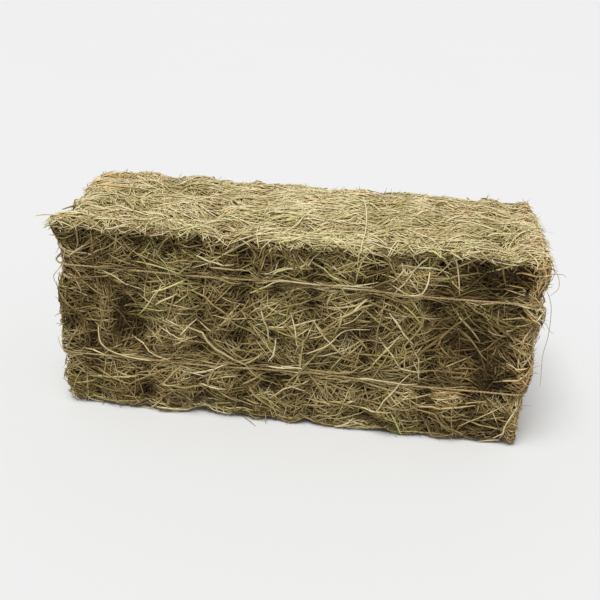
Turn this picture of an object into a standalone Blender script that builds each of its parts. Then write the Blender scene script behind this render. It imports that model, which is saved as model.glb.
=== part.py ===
"""A small square bale of straw standing on edge: ten pressed flakes held by two loops of twine.

Metres, +Z up. The length runs along X, the front (a twine side) faces -Y, and the origin is in the
middle of the underside.
"""

from math import cos, pi, sin

import bmesh
import bpy
from mathutils import Vector, noise

# Size of the pressed bale
LENGTH = 1.000
DEPTH = 0.360
HEIGHT = 0.430

# Flakes, left to right: how thick each is, and how far its front sits back from the bale's front
FLAKE_THICKNESS = (0.088, 0.102, 0.120, 0.093, 0.139, 0.111, 0.130, 0.088, 0.074, 0.055)
FRONT_SETBACK = (0.004, 0.001, 0.000, 0.003, 0.000, 0.003, 0.000, 0.002, 0.009, 0.001)
BACK_SETBACK = 0.003
TOP_SETTLE = 0.002
FLAKE_GAP = 0.0006
SEAM_DEPTH = 0.011
SEAM_SHARPNESS = 6.0
SEAM_PATCH = 0.110
THIN_FLAKE = 0.095

# Twines
TWINE_RADIUS = 0.0020
TWINE_HEIGHTS = {"twine_lower": 0.129, "twine_upper": 0.331}
TWINE_GAP = 0.0006
TWINE_BEND = 0.030
TWINE_WAVE = 0.0035
TWINE_WAVE_TURNS = (9.0, 17.0)
STRAIGHT_STEP = 0.090
BEND_STEPS = 5

# The groove that a twine presses: its depth, flat bottom and full width, each half width from the middle
GROOVE_DEPTH = 0.014
GROOVE_FLAT = 0.006
GROOVE_REACH = 0.030

# Knots, on the back near the left end
KNOT_X = {"twine_lower": -0.352, "twine_upper": -0.338}
KNOT_OUT = 0.0044
KNOT_RADIUS = 0.0046
KNOT_LENGTH = 0.015
WRAP_RADIUS = 0.0017
WRAP_PLACES = (-0.0032, 0.0030)
WRAP_LEANS = (0.0022, -0.0022)
WRAP_STEPS = 8
TAIL_LENGTH = 0.036
TAIL_RADIUS = 0.0017
TAIL_LIFT = 0.0050
TAIL_CURL = 0.0030
TAIL_RISES = (0.007, -0.006)
TAIL_STEPS = 4

# The loose surface
EDGE_RADIUS = 0.013
END_DRAW = 0.004
TOP_HOLLOW = 0.0055
TOP_HOLLOW_SPAN = 0.052
FOOT_DRAW = 0.0035
FOOT_DRAW_HEIGHT = 0.080
LUMP = 0.0080
LUMP_SIZE = 0.075
TUFT = 0.0090
TUFT_SIZE = 0.024
PIT = 0.010
PIT_SIZE = 0.034
PIT_ONSET = 0.18
TOP_ROUGHNESS = 0.55
FOOT_FLATNESS = 0.012
END_BAND = 0.060

# How finely the flakes are drawn
CELLS_DEEP = 14
ROW_STEP = 0.028
EDGE_ROW = 0.012
THIN_SHARES = (0.0, 0.22, 0.78, 1.0)
THICK_SHARES = (0.0, 0.17, 0.5, 0.83, 1.0)

STRAW = (0.150, 0.118, 0.050)
DARK_STRAW = (0.080, 0.062, 0.030)
FRAYED_STRAW = (0.235, 0.165, 0.080)
SISAL = (0.360, 0.250, 0.120)


def clear_scene():
    for old in list(bpy.data.objects):
        bpy.data.objects.remove(old, do_unlink=True)


def new_collection(name):
    collection = bpy.data.collections.new(name)
    bpy.context.scene.collection.children.link(collection)
    return collection


def matte(name, color, roughness):
    material = bpy.data.materials.new(name)
    material.use_nodes = True
    shader = material.node_tree.nodes["Principled BSDF"]
    shader.inputs["Base Color"].default_value = (*color, 1.0)
    shader.inputs["Roughness"].default_value = roughness
    shader.inputs["Metallic"].default_value = 0.0
    return material


def smooth(value):
    """Ease from 0 to 1 as the value goes from 0 to 1."""
    value = min(max(value, 0.0), 1.0)
    return value * value * (3.0 - 2.0 * value)


def mix(low, high, share):
    return low + (high - low) * share


def twine_wander(x, y):
    """How far a twine, and its groove, rise or fall from level at a place in plan."""
    slow, quick = TWINE_WAVE_TURNS
    return TWINE_WAVE * (sin(slow * x + 1.3) + 0.6 * sin(quick * x - 6.0 * y))


def twine_height(level, x, y):
    """The height of a twine, or of anything near it, at a place in plan."""
    return level + twine_wander(x, y) * sin(pi * level / HEIGHT)


def press(height):
    """How hard the twines press the straw at a height: 1 in a groove's bottom, 0 clear of it."""
    nearest = min(abs(height - level) for level in TWINE_HEIGHTS.values())
    return 1.0 - smooth((nearest - GROOVE_FLAT) / (GROOVE_REACH - GROOVE_FLAT))


def rows():
    """Heights of the rows of points on a flake, with four rows to each groove."""
    marks = [EDGE_ROW]
    for level in sorted(TWINE_HEIGHTS.values()):
        marks += [level - GROOVE_REACH, level - GROOVE_FLAT, level + GROOVE_FLAT, level + GROOVE_REACH]
    marks.append(HEIGHT - EDGE_ROW)
    heights = [0.0, marks[0]]
    for low, high in zip(marks, marks[1:]):
        steps = max(1, round((high - low) / ROW_STEP))
        heights += [mix(low, high, step / steps) for step in range(1, steps + 1)]
    heights.append(HEIGHT)
    return heights


def face_profile(height):
    """How far a side sits back at a height: proud between the twines and at the top edge."""
    above = (height - TWINE_HEIGHTS["twine_upper"] - GROOVE_REACH) / TOP_HOLLOW_SPAN
    hollow = TOP_HOLLOW * smooth(3.0 * above) * smooth(2.4 * (1.0 - above))
    foot = FOOT_DRAW * (1.0 - smooth(height / FOOT_DRAW_HEIGHT))
    return hollow + foot


def lumps(x, y, z, seed):
    """Uneven straw: broad lumps with tufts on them, and pits here and there."""
    place = Vector((x, y, z))
    broad = noise.noise(place / LUMP_SIZE + Vector((seed, 0.0, 0.0)))
    fine = noise.noise(place / TUFT_SIZE + Vector((0.0, seed, 7.0)))
    hole = noise.noise(place / PIT_SIZE + Vector((5.0, 0.0, seed)))
    return LUMP * broad + TUFT * fine - PIT * smooth((hole - PIT_ONSET) / PIT_ONSET)


def seam(share, x, y, z):
    """How far a flake draws in towards its two neighbours, more in some places than in others."""
    depth = SEAM_DEPTH * (1.0 + 0.5 * noise.noise(Vector((x, y, z)) / SEAM_PATCH))
    return depth * abs(2.0 * share - 1.0) ** SEAM_SHARPNESS


def round_off(point, low, high, radius, open_ends):
    """Bring a point on a box's surface in to the same box with its edges rounded."""
    low = Vector(low)
    high = Vector(high)
    inner = Vector(point)
    for axis in range(3):
        if axis == 0 and open_ends[0] and open_ends[1]:
            continue
        inner_low = low[axis] + radius
        inner_high = high[axis] - radius
        if axis == 0 and open_ends[0]:
            inner_low = low[axis]
        if axis == 0 and open_ends[1]:
            inner_high = high[axis]
        inner[axis] = min(max(point[axis], inner_low), inner_high)
    out = Vector(point) - inner
    if out.length < 1e-9:
        return Vector(point)
    return inner + out * (max(abs(part) for part in out) / out.length)


def surface_point(share, across, level, flake):
    """The place of one point of a flake, from its shares through the flake and its nominal height."""
    x = mix(flake["low"], flake["high"], share)
    y = across * DEPTH / 2.0
    seed = flake["seed"]
    pressed = press(level)
    loose = 1.0 - pressed
    setback = flake["front"] if across < 0.0 else flake["back"]
    draw = seam(share, x, y, level) + setback + face_profile(level)
    side = draw - lumps(x, across, level, seed)
    half = DEPTH / 2.0 - max(0.0, loose * side) - pressed * GROOVE_DEPTH
    top_dip = flake["top"] + seam(share, x, y, HEIGHT) - TOP_ROUGHNESS * lumps(x, y, HEIGHT, seed)
    top = HEIGHT - max(0.0, top_dip)
    foot = max(0.0, seam(share, x, y, 0.0) + lumps(x, y, 0.0, seed) - FOOT_FLATNESS)
    left = flake["low"]
    right = flake["high"]
    end_dip = loose * max(0.0, face_profile(level) + END_DRAW - lumps(seed, y, level, seed))
    end_dip += pressed * GROOVE_DEPTH
    if flake["left_end"]:
        left += end_dip
    if flake["right_end"]:
        right -= end_dip
    z = twine_height(level, x, y) + foot * (1.0 - smooth(level / END_BAND))
    z += (top - HEIGHT) * smooth((level - HEIGHT + END_BAND) / END_BAND)
    point = Vector((mix(left, right, share), across * half, z))
    radius = mix(EDGE_RADIUS, TWINE_BEND, pressed)
    open_ends = (not flake["left_end"], not flake["right_end"])
    return round_off(point, (left, -half, foot), (right, half, top), radius, open_ends)


def box_grid(cells):
    """A cube with a grid of the given numbers of cells on its faces, its corners at plus and minus 0.5."""
    grid = bmesh.new()
    bmesh.ops.create_cube(grid, size=1.0)
    for axis, count in enumerate(cells):
        along = []
        for edge in grid.edges:
            start, end = (vertex.co for vertex in edge.verts)
            if abs(start[axis] - end[axis]) > 1e-6:
                along.append(edge)
        bmesh.ops.subdivide_edges(grid, edges=along, cuts=count - 1, use_grid_fill=True)
    return grid


def merge_inner_end(grid, side):
    """Make one flat face of the grid on an end that lies against a neighbour."""
    faces = [face for face in grid.faces if face.normal.x * side > 0.99]
    bmesh.ops.dissolve_faces(grid, faces=faces, use_verts=True)


def make_flake(flake, heights, collection):
    thin = flake["high"] - flake["low"] < THIN_FLAKE
    shares = THIN_SHARES if thin else THICK_SHARES
    cells = (len(shares) - 1, CELLS_DEEP, len(heights) - 1)
    grid = box_grid(cells)
    grid.normal_update()
    if not flake["left_end"]:
        merge_inner_end(grid, -1.0)
    if not flake["right_end"]:
        merge_inner_end(grid, 1.0)
    for vertex in grid.verts:
        index = [round((vertex.co[axis] + 0.5) * cells[axis]) for axis in range(3)]
        across = sin(pi * (index[1] / cells[1] - 0.5))
        vertex.co = surface_point(shares[index[0]], across, heights[index[2]], flake)
    mesh = bpy.data.meshes.new(flake["name"])
    grid.to_mesh(mesh)
    grid.free()
    mesh.materials.append(matte(flake["name"] + "_straw", flake["color"], 0.9))
    made = bpy.data.objects.new(flake["name"], mesh)
    collection.objects.link(made)
    return made


def flakes():
    """Each flake's span along the bale, its setbacks and its colour."""
    last = len(FLAKE_THICKNESS)
    start = -LENGTH / 2.0
    for number, thickness in enumerate(FLAKE_THICKNESS, start=1):
        end = start + thickness
        first = number == 1
        color = STRAW
        if number == last - 1:
            color = DARK_STRAW
        if number == last:
            color = FRAYED_STRAW
        yield {
            "name": f"flake_{number:02d}",
            "low": start + (0.0 if first else FLAKE_GAP / 2.0),
            "high": end - (0.0 if number == last else FLAKE_GAP / 2.0),
            "left_end": first,
            "right_end": number == last,
            "front": FRONT_SETBACK[number - 1],
            "back": BACK_SETBACK * (1.0 + sin(2.3 * number)),
            "top": TOP_SETTLE * (1.0 + sin(1.7 * number + 0.5)),
            "seed": 3.7 * number,
            "color": color,
        }
        start = end


def twine_route(level):
    """Points of a loop round the bale in its groove: four straight runs with round bends."""
    half_x = LENGTH / 2.0 - GROOVE_DEPTH - TWINE_BEND
    half_y = DEPTH / 2.0 - GROOVE_DEPTH - TWINE_BEND
    radius = TWINE_BEND + TWINE_RADIUS + TWINE_GAP
    corners = ((half_x, half_y), (-half_x, half_y), (-half_x, -half_y), (half_x, -half_y))
    plan = []
    for turn, center in enumerate(corners):
        for step in range(BEND_STEPS + 1):
            angle = pi / 2.0 * (turn + step / BEND_STEPS)
            plan.append((center[0] + radius * cos(angle), center[1] + radius * sin(angle)))
        following = corners[(turn + 1) % 4]
        run = (following[0] - center[0], following[1] - center[1])
        steps = round(max(abs(run[0]), abs(run[1])) / STRAIGHT_STEP)
        start = plan[-1]
        for step in range(1, steps):
            share = step / steps
            plan.append((start[0] + run[0] * share, start[1] + run[1] * share))
    return [Vector((x, y, twine_height(level, x, y))) for x, y in plan]


def tube(name, route, radius, cyclic, collection):
    """A round bar along a route, as a closed mesh."""
    curve = bpy.data.curves.new(name, "CURVE")
    curve.dimensions = "3D"
    curve.bevel_depth = radius
    curve.bevel_resolution = 2
    curve.use_fill_caps = not cyclic
    spline = curve.splines.new("POLY")
    spline.points.add(len(route) - 1)
    for control, place in zip(spline.points, route):
        control.co = (*place, 1.0)
    spline.use_cyclic_u = cyclic
    bar = bpy.data.objects.new(name + "_curve", curve)
    collection.objects.link(bar)
    bpy.context.view_layer.update()
    evaluated = bar.evaluated_get(bpy.context.evaluated_depsgraph_get())
    mesh = bpy.data.meshes.new_from_object(evaluated)
    made = bpy.data.objects.new(name, mesh)
    made.matrix_world = bar.matrix_world.copy()
    collection.objects.link(made)
    bpy.data.objects.remove(bar, do_unlink=True)
    cleaned = bmesh.new()
    cleaned.from_mesh(mesh)
    bmesh.ops.remove_doubles(cleaned, verts=cleaned.verts, dist=0.00001)
    bmesh.ops.recalc_face_normals(cleaned, faces=cleaned.faces)
    cleaned.to_mesh(mesh)
    cleaned.free()
    return made


def ball(name, center, size, collection):
    """A round lump, longer along X than it is wide."""
    mesh = bpy.data.meshes.new(name)
    lump = bmesh.new()
    bmesh.ops.create_uvsphere(lump, u_segments=8, v_segments=6, radius=1.0)
    bmesh.ops.scale(lump, vec=size, verts=lump.verts)
    bmesh.ops.translate(lump, vec=center, verts=lump.verts)
    lump.to_mesh(mesh)
    lump.free()
    made = bpy.data.objects.new(name, mesh)
    collection.objects.link(made)
    return made


def wrap(name, center, lean, collection):
    """One turn of twine round the knot, leaning along the bale."""
    route = []
    for step in range(WRAP_STEPS):
        angle = 2.0 * pi * step / WRAP_STEPS
        around = Vector((lean * sin(angle), KNOT_RADIUS * cos(angle), KNOT_RADIUS * sin(angle)))
        route.append(center + around)
    return tube(name, route, WRAP_RADIUS, True, collection)


def tail(name, start, rise, collection):
    """A short free end of twine, leaving the knot along the groove and lifting out of it."""
    route = []
    for step in range(TAIL_STEPS + 1):
        share = step / TAIL_STEPS
        across = rise * share + TAIL_CURL * sin(pi * share)
        route.append(start + Vector((TAIL_LENGTH * share, TAIL_LIFT * share ** 1.5, across)))
    return tube(name, route, TAIL_RADIUS, False, collection)


def make_twine(name, level, collection, cutters):
    made = tube(name, twine_route(level), TWINE_RADIUS, True, collection)
    knot_x = KNOT_X[name]
    back = DEPTH / 2.0 - GROOVE_DEPTH + TWINE_RADIUS + TWINE_GAP
    center = Vector((knot_x, back + KNOT_OUT, twine_height(level, knot_x, back)))
    size = (KNOT_LENGTH / 2.0, KNOT_RADIUS, KNOT_RADIUS)
    pieces = [ball(name + "_knot", center, size, cutters)]
    for turn, (offset, lean) in enumerate(zip(WRAP_PLACES, WRAP_LEANS)):
        place = center + Vector((offset, 0.0, 0.0))
        pieces.append(wrap(f"{name}_wrap_{turn}", place, lean, cutters))
    for turn, rise in enumerate(TAIL_RISES):
        pieces.append(tail(f"{name}_tail_{turn}", center, rise, cutters))
    for piece in pieces:
        piece.hide_render = True
        piece.display_type = "WIRE"
        join = made.modifiers.new("join " + piece.name, "BOOLEAN")
        join.operation = "UNION"
        join.solver = "EXACT"
        join.object = piece
    made.data.materials.append(matte(name + "_sisal", SISAL, 0.85))
    return made


def main():
    clear_scene()
    bale = new_collection("square_straw_bale")
    cutters = new_collection("cutters")
    heights = rows()
    for flake in flakes():
        make_flake(flake, heights, bale)
    for name, level in TWINE_HEIGHTS.items():
        make_twine(name, level, bale, cutters)


main()
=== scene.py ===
# %% [markdown]
# # A square straw bale, dressed stem by stem
# The bale is ten flakes of pressed straw in a row, held by two loops of sisal twine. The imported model
# gives each flake's outer form, out to where its loose stems reach. Here every flake gets a dark, dense
# heart a finger's width inside that form, and thousands of real stems between the heart and the form: a
# mat that is pressed flat, longer stems that lie across it, and short ends that stand out of it.

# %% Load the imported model
from math import cos, pi, radians, sin

import bmesh
import bpy
from mathutils import Matrix, Vector, noise
from mathutils.bvhtree import BVHTree


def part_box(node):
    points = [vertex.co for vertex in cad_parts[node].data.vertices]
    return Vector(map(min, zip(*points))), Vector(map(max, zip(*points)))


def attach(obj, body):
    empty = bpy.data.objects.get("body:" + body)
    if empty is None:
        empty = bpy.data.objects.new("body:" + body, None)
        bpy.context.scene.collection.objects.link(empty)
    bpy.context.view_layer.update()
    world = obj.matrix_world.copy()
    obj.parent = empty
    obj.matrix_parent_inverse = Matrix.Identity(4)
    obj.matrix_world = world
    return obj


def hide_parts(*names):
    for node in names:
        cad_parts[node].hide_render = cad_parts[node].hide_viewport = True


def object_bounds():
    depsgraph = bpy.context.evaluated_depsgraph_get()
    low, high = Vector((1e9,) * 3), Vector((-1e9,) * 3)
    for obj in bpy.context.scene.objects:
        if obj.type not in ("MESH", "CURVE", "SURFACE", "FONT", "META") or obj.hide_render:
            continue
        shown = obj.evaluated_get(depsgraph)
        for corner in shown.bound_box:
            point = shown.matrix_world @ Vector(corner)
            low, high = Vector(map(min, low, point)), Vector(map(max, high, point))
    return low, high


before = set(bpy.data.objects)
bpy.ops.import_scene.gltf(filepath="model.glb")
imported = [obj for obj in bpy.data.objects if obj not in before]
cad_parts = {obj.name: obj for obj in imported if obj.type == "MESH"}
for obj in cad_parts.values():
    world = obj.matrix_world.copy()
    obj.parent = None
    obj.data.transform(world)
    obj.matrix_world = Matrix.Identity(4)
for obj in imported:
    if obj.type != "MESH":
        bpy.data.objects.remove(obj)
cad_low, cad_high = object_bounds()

FLAKES = sorted(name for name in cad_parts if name.startswith("flake"))
TWINES = ("twine_lower", "twine_upper")
SEAMS = [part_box(name)[1].x for name in FLAKES[:-1]]
LENGTH, DEPTH, HEIGHT = cad_high - cad_low
print("flakes", len(FLAKES), "box", round(LENGTH, 3), round(DEPTH, 3), round(HEIGHT, 3))

# %% [markdown]
# ## Writing node trees as sums
# Materials and Geometry Nodes are both trees of nodes joined by wires. Adding each node by hand takes a
# lot of lines, so a small class wraps one output of a node, and arithmetic on it adds Math nodes.
# Everything else goes through one method, which takes the node's type, its settings and its sockets.

# %% One output of a node


class Wire:
    """One output of a node. Arithmetic on it adds Math nodes to the same tree."""

    def __init__(self, tree, socket):
        self.tree = tree
        self.socket = socket

    def math(self, operation, *values):
        return self.tree.add("ShaderNodeMath", {"operation": operation}, dict(enumerate(values)))

    def __add__(self, other):
        return self.math("ADD", self, other)

    def __radd__(self, other):
        return self.math("ADD", other, self)

    def __sub__(self, other):
        return self.math("SUBTRACT", self, other)

    def __rsub__(self, other):
        return self.math("SUBTRACT", other, self)

    def __mul__(self, other):
        return self.math("MULTIPLY", self, other)

    def __rmul__(self, other):
        return self.math("MULTIPLY", other, self)

    def __truediv__(self, other):
        return self.math("DIVIDE", self, other)

    def __pow__(self, other):
        return self.math("POWER", self, other)

    def through(self, operation):
        """The value passed through a Math node that takes only one."""
        return self.math(operation, self)

    def size(self):
        return self.through("ABSOLUTE")

    def least(self, other):
        return self.math("MINIMUM", self, other)

    def most(self, other):
        return self.math("MAXIMUM", self, other)

    def eased(self, start, end):
        """0 up to start, 1 past end, and smooth between; start may be above end."""
        settings = {"interpolation_type": "SMOOTHSTEP"}
        sockets = {"Value": self, "From Min": start, "From Max": end}
        if start > end:
            sockets = {"Value": self, "From Min": end, "From Max": start, "To Min": 1.0, "To Max": 0.0}
        return self.tree.add("ShaderNodeMapRange", settings, sockets)


print("arithmetic on a wire adds Math nodes")

# %% [markdown]
# ## One way to add a node
# A node's own settings decide which sockets it shows, so they are set first and its sockets after them.
# A socket takes a value, a wire or a list of wires. The vector and colour nodes that come up most often
# get short names of their own.

# %% A tree of nodes


class Tree:
    """A tree of nodes, and the one way in which nodes are added to it."""

    def __init__(self, group):
        self.group = group

    def pick(self, sockets, key):
        shown = [socket for socket in sockets if socket.enabled]
        if isinstance(key, int):
            return shown[key]
        return next(socket for socket in shown if socket.name == key)

    def add(self, kind, settings=(), sockets=(), take=0):
        node = self.group.nodes.new(kind)
        for name, value in dict(settings).items():
            if name == "stops":
                self.set_stops(node.color_ramp, value)
            else:
                setattr(node, name, value)
        for key, value in dict(sockets).items():
            socket = self.pick(node.inputs, key)
            for part in value if isinstance(value, list) else [value]:
                if isinstance(part, Wire):
                    self.group.links.new(part.socket, socket)
                else:
                    socket.default_value = part
        if isinstance(take, tuple):
            return tuple(Wire(self, self.pick(node.outputs, key)) for key in take)
        return Wire(self, self.pick(node.outputs, take))

    def set_stops(self, ramp, stops):
        while len(ramp.elements) < len(stops):
            ramp.elements.new(1.0)
        for element, (place, color) in zip(ramp.elements, stops):
            element.position = place
            element.color = (*color, 1.0)

    def vector(self, operation, *values, take=0):
        settings = {"operation": operation}
        return self.add("ShaderNodeVectorMath", settings, dict(enumerate(values)), take)

    def position(self):
        return self.add("GeometryNodeInputPosition")

    def combine(self, x, y, z):
        return self.add("ShaderNodeCombineXYZ", {}, {"X": x, "Y": y, "Z": z})

    def split(self, vector):
        return self.add("ShaderNodeSeparateXYZ", {}, {"Vector": vector}, ("X", "Y", "Z"))

    def scaled(self, vector, factor):
        settings = {"operation": "SCALE"}
        return self.add("ShaderNodeVectorMath", settings, {"Vector": vector, "Scale": factor})

    def blend(self, factor, low, high):
        """A vector between two others."""
        sockets = {"Factor": factor, "A": low, "B": high}
        return self.add("ShaderNodeMix", {"data_type": "VECTOR"}, sockets)

    def tinted(self, factor, low, high, blend_type="MIX"):
        """A colour between two others, or one laid over the other."""
        settings = {"data_type": "RGBA", "blend_type": blend_type}
        return self.add("ShaderNodeMix", settings, {"Factor": factor, "A": low, "B": high})


print("a tree adds its nodes by one method")

# %% [markdown]
# ## What the finishes share
# Straw, pressed straw and twine start from the same few things: a place on the piece itself, a noise
# over it, a ramp that turns a number into a colour, and a fine relief. Each is named once here.

# %% Helpers for materials


def new_material(name):
    """A material with its shader ready, as a tree to add to."""
    material = bpy.data.materials.new(name)
    material.use_nodes = True
    shader = material.node_tree.nodes["Principled BSDF"]
    return material, Tree(material.node_tree), shader


def feed(tree, shader, **sockets):
    """Wire or set a shader's sockets; an underscore stands for a space in a socket's name."""
    for name, value in sockets.items():
        socket = shader.inputs[name.replace("_", " ")]
        if isinstance(value, Wire):
            tree.group.links.new(value.socket, socket)
        else:
            socket.default_value = value


def own_place(tree):
    """A place on the piece itself."""
    return tree.add("ShaderNodeTexCoord", {}, {}, "Object")


def speckle(tree, place, scale, detail=2.0, take="Fac"):
    """A noise over a place."""
    return tree.add("ShaderNodeTexNoise", {}, {"Vector": place, "Scale": scale, "Detail": detail}, take)


def drift(tree, place, scale):
    """A push by noise, up to a half either way along each axis."""
    return tree.vector("SUBTRACT", speckle(tree, place, scale, 1.0, "Color"), (0.5, 0.5, 0.5))


def ramped(tree, stops, shade):
    """A colour from a ramp."""
    return tree.add("ShaderNodeValToRGB", {"stops": stops}, {"Fac": shade}, "Color")


def bumped(tree, height, strength, distance):
    """A normal for fine relief."""
    sockets = {"Height": height, "Strength": strength, "Distance": distance}
    return tree.add("ShaderNodeBump", {}, sockets)


print("helpers for materials ready")

# %% [markdown]
# ## The finish of a stem
# A dry stem is pale gold where it is clean, olive where it was cut green, and brown where it was wet.
# No two lying side by side match, so each stem carries two numbers of its own, its tone and its tint,
# and a third that runs along it. The material only reads them: a ramp turns the tone into a colour, the
# tint leans it towards green or rust, and joints and dry tips come from the place along the stem. The
# tone also carries painted light and shade: it is lighter on the top, and darker in pits and seams and
# under the top's edge.

# %% Straw material
STEM_STOPS = (
    (0.00, (0.056, 0.031, 0.007)),
    (0.22, (0.150, 0.097, 0.027)),
    (0.45, (0.297, 0.215, 0.084)),
    (0.70, (0.505, 0.392, 0.178)),
    (1.00, (0.790, 0.680, 0.412)),
)
STEM_ATTRIBUTES = ("tone", "tint", "along")
GREEN = (0.82, 0.93, 0.58, 1.0)
RUST = (1.00, 0.70, 0.46, 1.0)


def straw_material():
    material, tree, shader = new_material("straw stems")
    tone, tint, along = (
        tree.add("ShaderNodeAttribute", {"attribute_name": name}, {}, "Fac") for name in STEM_ATTRIBUTES)
    place = own_place(tree)
    mottle = speckle(tree, place, 260.0, 3.0)
    grime = speckle(tree, place, 45.0)
    joint = ((along - 0.25 - tint * 0.5).size()).eased(0.035, 0.010)
    tip = ((along - 0.5).size() * 2.0).eased(0.80, 1.00)
    shade = tone + (mottle - 0.5) * 0.22 + (grime - 0.5) * 0.20 + tip * 0.08 - joint * 0.16
    color = ramped(tree, STEM_STOPS, shade)
    color = tree.tinted(tint.eased(0.30, 0.02) * 0.75, color, GREEN, "MULTIPLY")
    color = tree.tinted(tint.eased(0.80, 1.00) * 0.70, color, RUST, "MULTIPLY")
    fibres = speckle(tree, place, 900.0)
    bump = bumped(tree, fibres, 0.35, 0.0006)
    feed(tree, shader, Base_Color=color, Roughness=0.52 + mottle * 0.25, Normal=bump)
    feed(tree, shader, IOR=1.45, Specular_IOR_Level=0.35)
    return material


STRAW = straw_material()
print("straw:", len(STRAW.node_tree.nodes), "nodes")

# %% [markdown]
# ## The finish of the heart
# Between the stems the eye reaches the pressed inside of a flake. It is only seen through gaps, so it
# needs no stems of its own: three sets of stretched noise, crossing each other, read as packed straw,
# and its ramp is kept dark as painted shade deep among the packed stems.

# %% Heart material
# painted shade: the heart's ramp is dark, which stands for the shade deep among the packed stems
HEART_STOPS = (
    (0.35, (0.030, 0.019, 0.005)),
    (0.55, (0.105, 0.070, 0.022)),
    (0.75, (0.260, 0.192, 0.080)),
)
HEART_STRETCH = (18.0, 160.0, 160.0)
HEART_SLANTS = ((0.3, 0.0, 0.2), (0.0, 1.1, 0.7), (0.9, 0.4, 2.1))


def heart_material():
    material, tree, shader = new_material("pressed heart")
    place = own_place(tree)
    ways = []
    for turn, slant in enumerate(HEART_SLANTS):
        sockets = {"Vector": place, "Rotation": slant, "Scale": HEART_STRETCH}
        ways.append(speckle(tree, tree.add("ShaderNodeMapping", {}, sockets), 1.0 + 0.2 * turn, 4.0))
    straws = ways[0].most(ways[1]).most(ways[2])
    color = ramped(tree, HEART_STOPS, straws)
    bump = bumped(tree, straws, 1.0, 0.004)
    feed(tree, shader, Base_Color=color, Roughness=0.80 + straws * 0.15, Normal=bump)
    return material


HEART = heart_material()
print("heart:", len(HEART.node_tree.nodes), "nodes")

# %% [markdown]
# ## Where the twines run
# Each twine is one closed loop lengthwise round the bale, sunk in its groove: four straight runs and
# four round bends, rising and falling a few millimetres where the straw gave way. The rest of the scene
# needs this route three times: for the twine itself, for the straw that it combs level, and for its
# knot.

# %% Twine routes
TWINE_LEVELS = {"twine_lower": 0.129, "twine_upper": 0.331}
TWINE_CORNER = (0.456, 0.136)
TWINE_BEND = 0.0326
TWINE_WAVE = 0.0035
BEND_STEPS = 7
RUN_STEP = 0.020
KNOT_X = {"twine_lower": -0.352, "twine_upper": -0.338}
KNOT_OUT = 0.0070


def twine_height(level, x, y):
    """The height of a twine at a place in plan."""
    wander = TWINE_WAVE * (sin(9.0 * x + 1.3) + 0.6 * sin(17.0 * x - 6.0 * y))
    return level + wander * sin(pi * level / HEIGHT)


def twine_route(level):
    """Points of the closed loop."""
    half_x, half_y = TWINE_CORNER
    corners = ((half_x, half_y), (-half_x, half_y), (-half_x, -half_y), (half_x, -half_y))
    plan = []
    for turn, center in enumerate(corners):
        for step in range(BEND_STEPS + 1):
            angle = pi / 2.0 * (turn + step / BEND_STEPS)
            plan.append((center[0] + TWINE_BEND * cos(angle), center[1] + TWINE_BEND * sin(angle)))
        following = corners[(turn + 1) % 4]
        run = (following[0] - center[0], following[1] - center[1])
        steps = round((abs(run[0]) + abs(run[1])) / RUN_STEP)
        begin = plan[-1]
        for step in range(1, steps):
            plan.append((begin[0] + run[0] * step / steps, begin[1] + run[1] * step / steps))
    return [Vector((x, y, twine_height(level, x, y))) for x, y in plan]


def knot_place(name):
    y = TWINE_CORNER[1] + TWINE_BEND
    return Vector((KNOT_X[name], y + KNOT_OUT, twine_height(TWINE_LEVELS[name], KNOT_X[name], y)))


print("points in a loop", len(twine_route(0.129)), "knots", [tuple(knot_place(name)) for name in TWINES])

# %% [markdown]
# ## A loose skin over the flakes
# Stems don't end where a flake ends. They cross the seams and bridge the grooves, so they need one
# surface to lie on. A fine box is laid round the bale, each of its points is dropped onto the packed
# form, and the skin is relaxed until the seams are shallow dips.

# %% The box that becomes the skin
SKIN_CELLS = (100, 36, 43)
SKIN_ROUND = 0.016
SKIN_RELAX = 2
DROP_FROM = 0.010
DEEPEST = 0.018
TOP_FILL = 0.55


def add_object(name, data):
    """A new object in the scene."""
    made = bpy.data.objects.new(name, data)
    bpy.context.scene.collection.objects.link(made)
    return made


def smooth(value):
    """0 up to 0, 1 past 1, and smooth between."""
    value = min(max(value, 0.0), 1.0)
    return value * value * (3.0 - 2.0 * value)


def runs_along(edge, axis):
    return abs(edge.verts[0].co[axis] - edge.verts[1].co[axis]) > 1e-6


def box_grid(cells):
    """A cube with a grid of cells on its faces, its corners at plus and minus a half."""
    grid = bmesh.new()
    bmesh.ops.create_cube(grid, size=1.0)
    for axis, count in enumerate(cells):
        along = [edge for edge in grid.edges if runs_along(edge, axis)]
        bmesh.ops.subdivide_edges(grid, edges=along, cuts=count - 1, use_grid_fill=True)
    return grid


def dropped(solid, nominal):
    """A point of a round-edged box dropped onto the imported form, and the way out from it."""
    low = cad_low + Vector((SKIN_ROUND,) * 3)
    high = cad_high - Vector((SKIN_ROUND,) * 3)
    inner = Vector([min(max(nominal[axis], low[axis]), high[axis]) for axis in range(3)])
    out = (nominal - inner).normalized()
    outer = inner + out * SKIN_ROUND
    hit = solid.ray_cast(outer + out * DROP_FROM, -out, DROP_FROM + DEEPEST)[0]
    place = hit if hit else outer - out * DEEPEST
    if out.z > 0.9:
        place.z += (cad_high.z - place.z) * TOP_FILL
    return place, out


def relax(grid, times):
    settings = {"factor": 0.5, "use_axis_x": True, "use_axis_y": True, "use_axis_z": True}
    for _ in range(times):
        bmesh.ops.smooth_vert(grid, verts=grid.verts, **settings)


print("cells along, across and up", SKIN_CELLS)
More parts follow.
